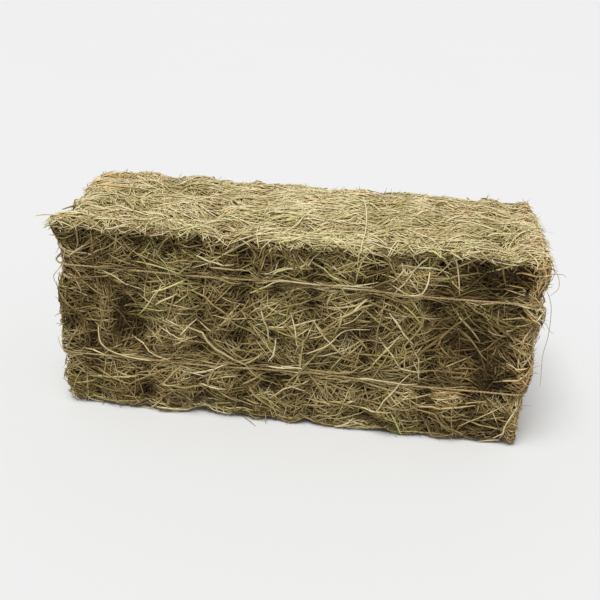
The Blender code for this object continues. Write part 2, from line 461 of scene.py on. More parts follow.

# %% [markdown]
# ## Lumps, pits, seams and bands
# Straw is never packed evenly. Lumps the size of a fist, the seams between flakes, and a few pits where
# a tuft fell out are pressed into the skin, and the foot and the upright edges are drawn in. Pits,
# seams, bands and the clear place at a knot are each a number from 0 to 1, which the straw reads again;
# in pits and seams the straw is painted darker, as painted shade.

# %% What the skin looks like at a place
LUMP = 0.0075
END_LUMP = 1.3
PIT = 0.017
SEAM = 0.0080
SEAM_REACH = 0.014
FOOT_DRAW = 0.007
EDGE_DRAW = 0.007
BAND_REACH = 0.024
TAILS_MIDDLE = Vector((0.020, 0.0, 0.0))
CLEAR_REACH = 0.020
CLEAR_FADE = 0.014
PITS = (
    # how far along the front, how high, and how wide, in millimetres
    (432, 358, 42), (352, 228, 52), (365, 345, 38), (85, 398, 22), (-245, 382, 22),
    (-490, 335, 34), (225, 392, 18), (-100, 60, 22), (-385, 296, 20), (500, 0, 30),
    (180, 85, 20), (-30, 372, 18), (-330, 160, 20), (60, 240, 18),
)


def pit_at(place):
    """1 in the middle of a pit and 0 outside: those of the front, and a scatter on the other sides."""
    found = smooth((noise.noise(place * 13.0 + Vector((3.0, 9.0, 1.0))) - 0.34) / 0.16)
    for pit in PITS:
        x, z, reach = (part / 1000 for part in pit)
        away = (place - Vector((x, cad_low.y, z))).length
        found = max(found, smooth(1.35 - away / reach))
    return found


def lump_at(place):
    """How far a point of the relaxed skin is pressed in."""
    near_end = smooth((abs(place.x) - LENGTH / 2.0 + 0.060) / 0.045)
    broad = noise.noise(place * 17.0) + 0.6 * noise.noise(place * 38.0 + Vector((7.0, 1.0, 4.0)))
    under = max(-0.0015, LUMP * (broad + 0.30) * (1.0 + END_LUMP * near_end)) + PIT * pit_at(place)
    beside = smooth(1.0 - place.z / 0.060) * FOOT_DRAW
    from_edge = LENGTH / 2.0 - abs(place.x) + DEPTH / 2.0 - abs(place.y)
    beside += smooth(1.0 - from_edge / 0.055) * EDGE_DRAW * smooth((cad_high.z - place.z) / 0.04)
    seam = SEAM * seam_at(place) * (1.0 - pit_at(place))
    return under + beside + seam * smooth((cad_high.z - place.z) / 0.05)


def band_at(place):
    """1 at a twine and 0 a few centimetres from it."""
    away = min(abs(place.z - twine_height(level, place.x, place.y)) for level in TWINE_LEVELS.values())
    return 1.0 - smooth(away / BAND_REACH)


def clear_at(place):
    """1 round a knot and its tails, which lie open on the back."""
    away = min((place - knot_place(name) - TAILS_MIDDLE).length for name in TWINES)
    return 1.0 - smooth((away - CLEAR_REACH) / CLEAR_FADE)


def seam_at(place):
    """1 in a seam between two flakes and 0 outside."""
    away = min(abs(place.x - seam) for seam in SEAMS)
    return 1.0 - smooth(away / SEAM_REACH)


print(len(PITS), "pits on the front,", len(SEAMS), "seams")

# %% [markdown]
# ## Making the skin
# Each point is pressed in along the box's own way out, not along the skin's normal, which would fold it
# at the edges. Every point then remembers that way, and how deep in a pit or seam it lies, how near a
# twine it is, and whether it must stay clear for a knot.

# %% Skin


def make_skin():
    solid = bmesh.new()
    for node in FLAKES:
        solid.from_mesh(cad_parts[node].data)
    form = BVHTree.FromBMesh(solid)
    grid = box_grid(SKIN_CELLS)
    size = cad_high - cad_low
    half = Vector((0.5, 0.5, 0.5))
    ways_out = []
    for vertex in grid.verts:
        share = vertex.co + half
        nominal = Vector([cad_low[axis] + size[axis] * share[axis] for axis in range(3)])
        vertex.co, out = dropped(form, nominal)
        ways_out.append(out)
    relax(grid, SKIN_RELAX)
    for vertex, out in zip(grid.verts, ways_out):
        vertex.co -= out * lump_at(vertex.co) * (1.0 - 0.7 * smooth((-out.z - 0.5) / 0.4))
    relax(grid, 1)
    mesh = bpy.data.meshes.new("skin")
    grid.to_mesh(mesh)
    grid.free()
    solid.free()
    mesh.shade_smooth()
    layer = mesh.attributes.new("out", "FLOAT_VECTOR", "POINT")
    layer.data.foreach_set("vector", [part for out in ways_out for part in out])
    return mesh


def remember(mesh, name, found):
    """Keep a number on each point of the skin, for the tree to read."""
    layer = mesh.attributes.new(name, "FLOAT", "POINT")
    layer.data.foreach_set("value", [found(vertex.co) for vertex in mesh.vertices])


SKIN_MESH = make_skin()
# painted shade: this number darkens the straw in pits and seams
remember(SKIN_MESH, "pit", lambda place: max(pit_at(place), seam_at(place)))
remember(SKIN_MESH, "band", band_at)
remember(SKIN_MESH, "seam", seam_at)
remember(SKIN_MESH, "clear", clear_at)
SKIN = add_object("skin", SKIN_MESH)
print("skin", len(SKIN_MESH.vertices), "points")

# %% [markdown]
# ## What stems and twine share
# A stem, a strand of twine and a hair on it are all a line with a section run along it. So are the
# steps that make them: a number by chance, a number kept on a point, a line on a point, a closed tube,
# a finish.

# %% Helpers for lines and sections


def random_value(tree, low, high, seed):
    settings = {"data_type": "FLOAT"}
    return tree.add("FunctionNodeRandomValue", settings, {"Min": low, "Max": high, "Seed": seed})


def named(tree, name, data_type="FLOAT"):
    settings = {"data_type": data_type}
    return tree.add("GeometryNodeInputNamedAttribute", settings, {"Name": name}, "Attribute")


def store(tree, geometry, name, value, data_type="FLOAT"):
    settings = {"data_type": data_type, "domain": "POINT"}
    sockets = {"Geometry": geometry, "Name": name, "Value": value}
    return tree.add("GeometryNodeStoreNamedAttribute", settings, sockets)


def facing(tree, ahead, up):
    """A turn that takes a line's own length along a heading."""
    settings = {"primary_axis": "X", "secondary_axis": "Z"}
    sockets = {"Primary Axis": ahead, "Secondary Axis": up}
    return tree.add("FunctionNodeAxesToRotation", settings, sockets)


def lines_at(tree, points, turn, length, start, count):
    """A real line of a few points on each point; start says where on itself it is held."""
    sockets = {"Start": (start, 0.0, 0.0), "End": (start + 1.0, 0.0, 0.0)}
    line = tree.add("GeometryNodeCurvePrimitiveLine", {}, sockets)
    line = tree.add("GeometryNodeResampleCurve", {}, {"Curve": line, "Count": count})
    sockets = {"Points": points, "Instance": line, "Rotation": turn, "Scale": length}
    lines = tree.add("GeometryNodeInstanceOnPoints", {}, sockets)
    return tree.add("GeometryNodeRealizeInstances", {}, {"Geometry": lines})


def moved(tree, geometry, **sockets):
    """Geometry with its points put at a Position, or moved by an Offset."""
    return tree.add("GeometryNodeSetPosition", {}, {"Geometry": geometry, **sockets})


def circle(tree, sides, radius=1.0):
    sockets = {"Resolution": sides, "Radius": radius}
    return tree.add("GeometryNodeCurvePrimitiveCircle", {}, sockets, "Curve")


def swept(tree, curve, section, scale=1.0):
    """A section run along a curve and closed at both ends."""
    sockets = {"Curve": curve, "Profile Curve": section, "Fill Caps": True, "Scale": scale}
    return tree.add("GeometryNodeCurveToMesh", {}, sockets)


def shaded(tree, mesh, material):
    """A mesh shaded smooth and given its material."""
    mesh = tree.add("GeometryNodeSetShadeSmooth", {}, {"Geometry": mesh})
    return tree.add("GeometryNodeSetMaterial", {}, {"Geometry": mesh, "Material": material})


print("helpers for lines and sections ready")

# %% [markdown]
# ## The lie of the straw
# Loose straw has no pattern, but pressed straw has. Where a wisp went in, its stems still lie side by
# side, so a slow noise gives each place a heading and each stem strays from it. At the twines the pull
# combed the straw level, and on the top it settled along the bale. Along the upper edges it hangs over.

# %% Headings of the stems


def level_pair(tree, normal):
    """Two directions in the surface: one level along the side, and one at right angles to it."""
    across, _, _ = tree.split(normal)
    axis = tree.blend(across.size().eased(0.60, 0.80), (1.0, 0.0, 0.0), (0.0, 1.0, 0.0))
    out = tree.vector("DOT_PRODUCT", axis, normal, take="Value")
    first = tree.vector("NORMALIZE", tree.vector("SUBTRACT", axis, tree.scaled(normal, out)))
    return first, tree.vector("CROSS_PRODUCT", normal, first)


def lying(tree, place, normal, seed):
    """The heading of a stem that lies in the mat."""
    _, _, upward = tree.split(normal)
    level, upright = level_pair(tree, normal)
    combed = (speckle(tree, place, 13.0, 1.0) - 0.5) * 2.0 * pi
    strayed = random_value(tree, -1.0, 1.0, seed)
    strayed = strayed * (strayed.size() * 0.75 + 0.25) * pi * 0.5
    calm = (1.0 - named(tree, "band") * 0.92) * (1.0 - upward.eased(0.6, 0.8) * 0.35)
    turn = (combed + strayed) * calm
    upended = named(tree, "seam") * random_value(tree, 0.0, 1.0, seed + 5) * (1.0 - named(tree, "band"))
    upended = upended * upward.eased(0.7, 0.4)
    turn = turn * (1.0 - upended) + upended * pi * 0.5
    along = tree.scaled(level, turn.through("COSINE"))
    return tree.vector("ADD", along, tree.scaled(upright, turn.through("SINE")))


def falling(tree, place, normal, seed):
    """The heading of a stem on the top that hangs out over the nearest edge."""
    x, y, _ = tree.split(place)
    diagonal = LENGTH / 2.0 - DEPTH / 2.0
    at_end = (x.size() - y.size()).eased(diagonal - 0.004, diagonal + 0.004)
    to_end = tree.combine(x.through("SIGN"), random_value(tree, -0.9, 0.9, seed), 0.0)
    to_side = tree.combine(random_value(tree, -1.5, 1.5, seed + 1), y.through("SIGN"), 0.0)
    return tree.vector("NORMALIZE", tree.blend(at_end, to_side, to_end))


print("two ways of lying")

# %% [markdown]
# ## A layer of stems
# Straw repeats thousands of times and follows a surface, which is what Geometry Nodes are for. Each
# layer goes the same way. Points are strewn over the part of the skin that belongs to the flake, and
# each keeps its own depth, tone and tint. A short line is put on each point, turned within the surface,
# and made real, so that its own points can be moved later.

# %% Strew stems over the skin
TONE_PATCHES = 8.0
GREEN_PATCHES = 6.0
PAINTED_PIT_SEAM_SHADE = 0.35
BAND_LIGHT = 0.07
PAINTED_OVERHANG_SHADE = 0.07


def strewn(tree, skin, knobs, seed):
    """Points on the skin with the attributes that a stem carries."""
    sockets = {"Mesh": skin, "Density": knobs["density"], "Seed": seed}
    points, normal = tree.add("GeometryNodeDistributePointsOnFaces", {}, sockets, ("Points", "Normal"))
    place = tree.position()
    _, _, upward = tree.split(normal)
    _, green_patch, _ = tree.split(speckle(tree, place, GREEN_PATCHES, 1.0, "Color"))
    sink = random_value(tree, 0.0, 1.0, seed + 11)
    tone = random_value(tree, 0.0, 1.0, seed + 12)
    patch = speckle(tree, place, TONE_PATCHES) - 0.5
    tone = tone * tone * knobs["contrast"] + knobs["tone"] + patch * 0.55
    # deeper stems get a darker tone: partly duller, less bleached straw, and partly painted shade of the
    # stems above them
    # painted light: stems that face up get a lighter tone, which stands for the light from above
    tone = tone + upward.eased(0.1, 0.6) * knobs["painted top light"] - sink * knobs["sunk tone"]
    # painted shade: stems in pits and seams get a darker tone, less so on the top
    pit_seam_shade = named(tree, "pit") * (1.0 - upward.eased(0.3, 0.7) * 0.7)
    tone = tone - pit_seam_shade * PAINTED_PIT_SEAM_SHADE + named(tree, "band") * BAND_LIGHT
    _, _, height = tree.split(place)
    # painted shade: side stems just under the top's edge are darkened, which stands for the shade under
    # the overhanging top
    under_overhang = height.eased(HEIGHT - 0.075, HEIGHT - 0.035) * (1.0 - upward.eased(0.1, 0.4))
    tone = tone - under_overhang * PAINTED_OVERHANG_SHADE
    tint = random_value(tree, 0.0, 1.0, seed + 13) * 0.9 + knobs["rust"] * (1.0 - upward * 0.6)
    tint = tint + (0.5 - green_patch) * 0.8
    ahead = knobs["heading"](tree, place, normal, seed + 14)
    lean = random_value(tree, knobs["lean"][0], knobs["lean"][1], seed + 15)
    ahead = tree.vector("NORMALIZE", tree.vector("ADD", ahead, tree.scaled(normal, lean)))
    points = store(tree, points, "ahead", ahead, "FLOAT_VECTOR")
    points = store(tree, points, "nap", normal, "FLOAT_VECTOR")
    points = store(tree, points, "sink", sink)
    points = store(tree, points, "tone", tone)
    return store(tree, points, "tint", tint)


def lines_on(tree, points, knobs, seed):
    """A line on each point, along its heading."""
    turn = facing(tree, named(tree, "ahead", "FLOAT_VECTOR"), named(tree, "nap", "FLOAT_VECTOR"))
    length = random_value(tree, 0.55, 1.45, seed + 16) * knobs["length"]
    return lines_at(tree, points, turn, length, -0.5, knobs["points"])


print("patches to the metre: tone", TONE_PATCHES, "green", GREEN_PATCHES)

# %% [markdown]
# ## Pressing the stems down
# A noise bends each line, and the nearest place on the skin pulls it down, so that it dips into a
# groove as a pressed stem does. Both ends dive under the neighbours, because no stem of a bale lies on
# top over its whole length. Loose ends do the opposite: they are held at the root only, and the tip
# springs free and droops a little.

# %% Lay the lines down
OVERHANG = Vector((0.022, 0.012, 0.009))
LOWEST = 0.0020
FLOOR_GAP = 0.0006
FLOOR_START = 0.004
FLOOR_PRESS = 0.15
CLEAR_DEPTH = 0.009


def nearest(tree, skin, value, place):
    """A vector of the skin, read at the place on it that is nearest."""
    settings = {"data_type": "FLOAT_VECTOR"}
    sockets = {"Mesh": skin, "Value": value, "Sample Position": place}
    return tree.add("GeometryNodeSampleNearestSurface", settings, sockets, "Value")


def bent_place(tree, knobs):
    """Each point of a line, moved by a noise of the stem's own."""
    place = tree.position()
    tone, sink, tint = (named(tree, name) for name in ("tone", "sink", "tint"))
    own = tree.combine(tone * 37.0, sink * 61.0, tint * 53.0)
    bending = tree.vector("ADD", tree.scaled(place, knobs["bend scale"]), own)
    return tree.vector("ADD", place, tree.scaled(drift(tree, bending, 1.0), knobs["bend"]))


def laid_place(tree, skin, knobs, along):
    """Where each point of a line comes to rest."""
    sink, tone, tint = (named(tree, name) for name in ("sink", "tone", "tint"))
    bent = bent_place(tree, knobs)
    foot = nearest(tree, skin, tree.position(), bent)
    out = nearest(tree, skin, named(tree, "out", "FLOAT_VECTOR"), bent)
    low, high = knobs["sink"]
    slope = (tint * 41.0).through("SINE") * knobs["slope"]
    dive = (tone * 83.0).through("FRACT") * knobs["dive"]
    from_middle = (along - 0.5).size() * 2.0
    below = sink * (high - low) + low + (along - 0.5) * slope + from_middle ** 3.0 * dive
    below = below - named(tree, "band") * sink.eased(0.80, 0.60) * knobs["over twine"]
    clear, _, _ = tree.split(nearest(tree, skin, named(tree, "clear"), bent))
    below = below + clear * CLEAR_DEPTH
    pressed = tree.vector("SUBTRACT", foot, tree.scaled(out, below))
    hold = (1.0 - along * knobs["spring"]) * knobs["follow"]
    laid = tree.blend(hold, bent, pressed)
    laid = tree.vector("SUBTRACT", laid, tree.combine(0.0, 0.0, along * along * knobs["droop"]))
    low_corner = (cad_low.x - OVERHANG.x, cad_low.y - OVERHANG.y, cad_low.z + LOWEST)
    laid = tree.vector("MAXIMUM", laid, low_corner)
    return tree.vector("MINIMUM", laid, tuple(cad_high + OVERHANG))


print("overhang allowed", tuple(OVERHANG))

# %% [markdown]
# ## The section of a stem
# A three-sided profile runs along each line. Three flat sides shaded smooth look round at this size and
# keep a stem at about twenty faces. Each stem has its own width, thins towards its tip, and is closed
# at both ends. What the stem no longer needs is dropped, and what the material reads is kept.

# %% Give the lines a section
STEM_SIDES = 3


def with_section(tree, stems, knobs, along):
    from_middle = (along - 0.5).size() * 2.0
    girth = (1.0 - from_middle ** 5.0 * 0.60) * (1.12 - along * 0.35)
    tone = named(tree, "tone")
    own_width = (tone * 91.0).through("FRACT") * 0.8 + 0.6
    sockets = {"Geometry": circle(tree, STEM_SIDES), "Scale": (knobs["flatness"], 1.0, 1.0)}
    section = tree.add("GeometryNodeTransform", {}, sockets)
    return swept(tree, stems, section, girth * own_width * knobs["width"] * 0.5)


def finished(tree, skin, stems, knobs, material):
    """Lay a layer's lines down and turn them into stems."""
    along = tree.add("GeometryNodeSplineParameter", {}, {}, "Factor")
    stems = moved(tree, stems, Position=laid_place(tree, skin, knobs, along))
    stems = store(tree, stems, "along", along)
    sockets = {"Curve": stems, "Normal": named(tree, "nap", "FLOAT_VECTOR")}
    stems = tree.add("GeometryNodeSetCurveNormal", {"mode": "FREE"}, sockets)
    mesh = with_section(tree, stems, knobs, along)
    x, y, z = tree.split(tree.position())
    above = tree.combine(x, y, z.most((z + FLOOR_START) * FLOOR_PRESS + FLOOR_GAP))
    mesh = moved(tree, mesh, Position=above)
    for spent in ("ahead", "nap", "sink", "out", "pit", "band", "seam", "clear"):
        mesh = tree.add("GeometryNodeRemoveAttribute", {}, {"Geometry": mesh, "Name": spent})
    return shaded(tree, mesh, material)


print("stems are closed at both ends")

# %% [markdown]
# ## The whole tree for a flake
# The tree's own inputs are what a maker would turn: how many stems to the square metre, how long and
# wide they are, how pale and how rusty this flake is, and which part of the skin it owns. The heart
# comes from the flake's own form, drawn in under the skin.

# %% Inputs and ends of a tree
FLAKE_INPUTS = {
    "Mat density": 10900.0,
    "Mat length": 0.050,
    "Mat width": 0.0030,
    "Chaff density": 9300.0,
    "Chaff length": 0.026,
    "Chaff width": 0.0026,
    "Long density": 2500.0,
    "Long length": 0.090,
    "Long width": 0.0040,
    "End density": 2600.0,
    "End length": 0.024,
    "End width": 0.0028,
    "Fringe density": 9000.0,
    "Wisp density": 130.0,
    "Straw density": 26.0,
    "Left": 0.0,
    "Right": 0.0,
    "Tone": 0.0,
    "Rust": 0.0,
    "Curl": 0.0,
    "Seed": 0,
    "Stem material": "NodeSocketMaterial",
    "Heart material": "NodeSocketMaterial",
    "Skin": "NodeSocketObject",
}


def new_group(name, inputs):
    """A Geometry Nodes tree with named inputs, and those inputs as wires."""
    group = bpy.data.node_groups.new(name, "GeometryNodeTree")
    group.interface.new_socket("Geometry", in_out="OUTPUT", socket_type="NodeSocketGeometry")
    group.interface.new_socket("Geometry", in_out="INPUT", socket_type="NodeSocketGeometry")
    for label, value in inputs.items():
        kind = {float: "NodeSocketFloat", int: "NodeSocketInt"}.get(type(value), value)
        group.interface.new_socket(label, in_out="INPUT", socket_type=kind)
    tree = Tree(group)
    start = group.nodes.new("NodeGroupInput")
    wires = {socket.name: Wire(tree, socket) for socket in start.outputs if socket.name}
    return tree, wires


def close_group(tree, parts):
    """End a tree by joining its parts and making every instance real."""
    joined = tree.add("GeometryNodeJoinGeometry", {}, {"Geometry": parts})
    real = tree.add("GeometryNodeRealizeInstances", {}, {"Geometry": joined})
    end = tree.group.nodes.new("NodeGroupOutput")
    tree.group.links.new(real.socket, end.inputs[0])
    return tree.group


print(len(FLAKE_INPUTS), "inputs to a flake")

# %% [markdown]
# ## Heart and shares of a flake
# The heart keeps the flake's flat inner ends, where it lies against its neighbours. What lies near the
# skin is moved in under it, and further in at the ends and the foot of the bale, where the stems stand
# off most. The underside gets about half as many stems, since it is pressed on the ground, and the top
# gets more.

# %% Heart of a flake and its share of the skin
HEART_DEPTH = 0.0150
DEEPER_AT_ENDS = 0.006
DEEPER_AT_FOOT = 0.005


def heart_of(tree, form, skin, material):
    """The dark inside of a flake: its form drawn in under the skin."""
    form = tree.add("GeometryNodeSubdivideMesh", {}, {"Mesh": form, "Level": 1})
    place = tree.position()
    foot = nearest(tree, skin, tree.position(), place)
    out = nearest(tree, skin, named(tree, "out", "FLOAT_VECTOR"), place)
    away = tree.vector("DISTANCE", place, foot, take="Value")
    x, _, z = tree.split(place)
    deeper = x.size().eased(LENGTH / 2.0 - 0.060, LENGTH / 2.0 - 0.025) * DEEPER_AT_ENDS
    depth = deeper.most(z.eased(0.060, 0.020) * DEEPER_AT_FOOT) + HEART_DEPTH
    drawn = tree.vector("SUBTRACT", foot, tree.scaled(out, depth))
    drawn_x, drawn_y, drawn_z = tree.split(drawn)
    free = x.size().eased(LENGTH / 2.0 - 0.050, LENGTH / 2.0 - 0.030)
    drawn = tree.combine(drawn_x * free + x * (1.0 - free), drawn_y, drawn_z)
    place_under = tree.blend(away.eased(0.045, 0.030), place, drawn)
    return shaded(tree, moved(tree, form, Position=place_under), material)


def share_of_skin(tree, given):
    """1 on the flake's own part of the skin, less on the underside and none at a knot."""
    x, _, _ = tree.split(tree.position())
    _, _, upward = tree.split(tree.add("GeometryNodeInputNormal"))
    own = (x - given["Left"]).eased(-0.004, 0.004) * (given["Right"] - x).eased(-0.004, 0.004)
    own = own * (1.0 - named(tree, "clear"))
    return own * (1.0 - upward.eased(-0.5, -0.8) * 0.45), own * upward.eased(0.5, 0.8)


def top_edges(tree):
    """1 near the edges of the top, and 0 elsewhere."""
    x, y, z = tree.split(tree.position())
    inside = (LENGTH / 2.0 - x.size()).least(DEPTH / 2.0 - y.size())
    return inside.eased(0.034, 0.022) * z.eased(HEIGHT - 0.024, HEIGHT - 0.012)


print("the heart lies", HEART_DEPTH, "under the skin")

# %% [markdown]
# ## Seven layers
# The mat is the pressed bulk, and chaff fills it up with short bits. Long stems lie on top of both, cut
# ends stick out, and a fringe hangs over the upper edges. A few wisps and bold straws break the evenness.
# Each later layer starts from the numbers of the mat or the long stems and changes what sets it apart.

# %% Layers


def layers(tree, given):
    """The layers of straw, from the mat outwards, with the sizes of each."""
    share, top = share_of_skin(tree, given)
    tone = given["Tone"]
    mat = {
        "density": given["Mat density"] * (share + top * 0.25), "length": given["Mat length"],
        "width": given["Mat width"], "points": 4, "heading": lying, "lean": (-0.10, 0.10),
        "sink": (-0.0005, 0.0070), "slope": 0.005, "dive": 0.009, "follow": 0.92, "spring": 0.0,
        "bend": given["Curl"] * 0.016 + 0.018, "bend scale": 24.0, "droop": 0.0, "flatness": 0.55,
        "over twine": 0.005, "contrast": 0.52,
        "tone": tone + 0.33, "painted top light": 0.39 - tone * 0.6, "sunk tone": 0.17, "rust": given["Rust"],
    }
    chaff = dict(mat, length=given["Chaff length"], width=given["Chaff width"], points=3)
    chaff.update({"density": given["Chaff density"] * (share + top * 0.75), "sink": (0.0, 0.0060)})
    long = dict(mat, length=given["Long length"], width=given["Long width"], points=6)
    long.update({
        "density": given["Long density"] * share, "sink": (-0.0020, 0.0025), "dive": 0.007,
        "bend": 0.030, "bend scale": 14.0, "follow": 0.84, "contrast": 0.62, "tone": tone + 0.41,
        "sunk tone": 0.10,
    })
    ends = dict(mat, length=given["End length"], width=given["End width"], points=3)
    ends.update({
        "density": given["End density"] * share, "lean": (0.20, 1.3), "sink": (0.0020, 0.0080),
        "slope": 0.0, "dive": 0.0, "bend": given["Curl"] * 0.014 + 0.014, "bend scale": 40.0,
        "follow": 1.0, "spring": 1.0, "tone": tone + 0.36,
    })
    fringe = dict(mat, length=0.060, points=5, heading=falling, slope=0.0, dive=0.0)
    fringe.update({
        "density": given["Fringe density"] * top_edges(tree) * share, "sink": (-0.0040, 0.0020),
        "follow": 0.86, "spring": 0.35, "droop": 0.008, "tone": tone + 0.42, "sunk tone": 0.05,
    })
    wisps = dict(mat, length=0.115, width=0.0018, points=8, slope=0.0, dive=0.0)
    wisps.update({
        "density": given["Wisp density"] * share, "lean": (0.10, 0.40), "sink": (0.0, 0.0040),
        "bend": 0.050, "bend scale": 12.0, "follow": 1.0, "spring": 0.85, "droop": 0.012,
        "tone": tone + 0.45,
    })
    straws = dict(long, length=0.150, width=0.0048, points=9, dive=0.004)
    straws.update({
        "density": given["Straw density"] * share, "sink": (-0.0050, -0.0020), "bend": 0.022,
        "bend scale": 9.0, "follow": 0.88, "contrast": 0.15, "tone": tone + 0.62, "painted top light": 0.25,
    })
    return mat, chaff, long, ends, fringe, wisps, straws


densities = {name: value for name, value in FLAKE_INPUTS.items() if "density" in name}
print("stems to the square metre", densities)

# %% [markdown]
# ## Heart and layers in one tree
# Each layer gets its own seeds, well apart, so that a change in one leaves the others as they are.

# %% Flake tree


def flake_tree():
    tree, given = new_group("lay straw on a flake", FLAKE_INPUTS)
    skin = tree.add("GeometryNodeObjectInfo", {}, {"Object": given["Skin"]}, "Geometry")
    parts = [heart_of(tree, given["Geometry"], skin, given["Heart material"])]
    for number, knobs in enumerate(layers(tree, given)):
        seed = given["Seed"] + 100.0 * (number + 1)
        points = strewn(tree, skin, knobs, seed)
        lines = lines_on(tree, points, knobs, seed)
        parts.append(finished(tree, skin, lines, knobs, given["Stem material"]))
    return close_group(tree, parts)


FLAKE_TREE = flake_tree()
print("flake tree:", len(FLAKE_TREE.nodes), "nodes")

# %% [markdown]
# ## Running a tree
# A modifier keeps its inputs under the sockets' identifiers, and they are set before the object is
# first worked out. The result is copied into a plain mesh, and the modifier and its object go.

# %% Run a tree on a form


def merged_form(name, node):
    """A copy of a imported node's mesh with its loose triangles merged."""
    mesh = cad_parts[node].data.copy()
    mesh.materials.clear()
    if "custom_normal" in mesh.attributes:
        mesh.attributes.remove(mesh.attributes["custom_normal"])
    work = bmesh.new()
    work.from_mesh(mesh)
    bmesh.ops.remove_doubles(work, verts=work.verts, dist=0.00002)
    work.to_mesh(mesh)
    work.free()
    mesh.shade_flat()
    return add_object(name, mesh)


def run_tree(name, base, group, values):
    """Run a tree on an object, and keep only the plain mesh that comes out."""
    modifier = base.modifiers.new("nodes", "NODES")
    modifier.node_group = group
    for item in group.interface.items_tree:
        if item.in_out == "INPUT" and item.name in values:
            modifier[item.identifier] = values[item.name]
    bpy.context.view_layer.update()
    evaluated = base.evaluated_get(bpy.context.evaluated_depsgraph_get())
    mesh = bpy.data.meshes.new_from_object(evaluated)
    base.modifiers.remove(modifier)
    bpy.data.objects.remove(base)
    mesh.name = name
    while None in mesh.materials[:]:
        mesh.materials.pop(index=mesh.materials[:].index(None))
    return add_object(name, mesh)


def triangles(piece):
    return sum(len(face.vertices) - 2 for face in piece.data.polygons)


print("points in the first packed form", len(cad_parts[FLAKES[0]].data.vertices))

# %% [markdown]
# ## Single stems laid one by one
# Chance lays the thousands, but the eye keeps single stems: the pale one that lies right across the
# top, the ones that cross the front, the one out of a corner, and the thin threads that hang beside the
# frayed end. Each is a short list of places with a lift above the skin.

# %% Stray stems
STRAYS = (
    # flake, width in metres, tone, tint, then places with their lift above the skin, in millimetres
    ("flake_06", 0.0034, 1.02, 0.40, (
        (118, 105, 430, 1), (128, 10, 430, 4), (131, -90, 430, 5), (127, -165, 430, 6),
        (126, -182, 408, 5))),
    ("flake_07", 0.0036, 0.95, 0.45, (
        (262, -180, 386, 0), (258, -180, 360, 6), (246, -180, 334, 7), (205, -180, 329, 4),
        (168, -180, 331, 0))),
    ("flake_05", 0.0032, 0.92, 0.50, (
        (-58, -180, 318, 0), (-30, -180, 333, 5), (20, -180, 337, 7), (60, -180, 336, 1))),
    ("flake_06", 0.0030, 0.90, 0.50, (
        (40, -180, 178, 0), (75, -180, 205, 6), (112, -180, 232, 7), (148, -180, 241, 1))),
    ("flake_02", 0.0036, 0.90, 0.20, (
        (-405, -180, 196, 0), (-394, -180, 160, 6), (-362, -180, 133, 7), (-300, -180, 126, 6),
        (-245, -180, 131, 1))),
    ("flake_01", 0.0034, 0.80, 0.60, (
        (-440, -150, 430, -2), (-485, -160, 430, 4), (-500, -165, 428, 17), (-500, -167, 422, 26))),
    ("flake_01", 0.0028, 0.75, 0.70, (
        (-462, -180, 352, 0), (-485, -180, 330, 8), (-500, -170, 300, 14), (-500, -160, 276, 4))),
    ("flake_10", 0.0014, 0.30, 0.60, (
        (500, -135, 345, 0), (500, -148, 322, 16), (500, -155, 270, 24), (500, -152, 215, 22),
        (500, -150, 165, 19), (500, -157, 150, 22))),
    ("flake_10", 0.0016, 0.55, 0.90, (
        (500, -160, 405, 0), (500, -166, 396, 14), (500, -163, 370, 22), (500, -168, 345, 19))),
    ("flake_10", 0.0022, 0.95, 0.85, (
        (468, -180, 300, 0), (490, -180, 290, 8), (500, -168, 262, 9), (500, -150, 250, 8),
        (500, -158, 236, 6), (492, -180, 225, 0))),
)
print(len(STRAYS), "stems laid by hand")

# %% [markdown]
# ## A smooth path and a section
# The given places are dropped onto the skin and lifted off it, and a smooth curve goes through them.
# Rings of five points along the curve make the stem. It thins towards its tip and is closed at both
# ends.

# %% Build a stray stem
STRAY_SIDES = 5
PATH_STEPS = 6
SKIN_TREE = BVHTree.FromPolygons(
    [vertex.co for vertex in SKIN_MESH.vertices], [face.vertices[:] for face in SKIN_MESH.polygons])


def smooth_path(knots, steps):
    """Places on a smooth curve through the given ones."""
    path = []
    ends = [knots[0], *knots, knots[-1]]
    for before, here, ahead, after in zip(ends, ends[1:], ends[2:], ends[3:]):
        for step in range(steps):
            share = step / steps
            place = here * 2.0 + (ahead - before) * share
            place += (before * 2.0 - here * 5.0 + ahead * 4.0 - after) * share ** 2
            place += (here * 3.0 - before - ahead * 3.0 + after) * share ** 3
            path.append(place * 0.5)
    return path + [knots[-1]]


def lifted(places):
    """The given places moved onto the skin and lifted off it, and the ways out there."""
    knots, naps = [], []
    for spot in places:
        x, y, z, lift = (part / 1000 for part in spot)
        foot, out = SKIN_TREE.find_nearest(Vector((x, y, z)))[:2]
        knots.append(foot + out * lift)
        naps.append(out)
    return smooth_path(knots, PATH_STEPS), smooth_path(naps, PATH_STEPS)


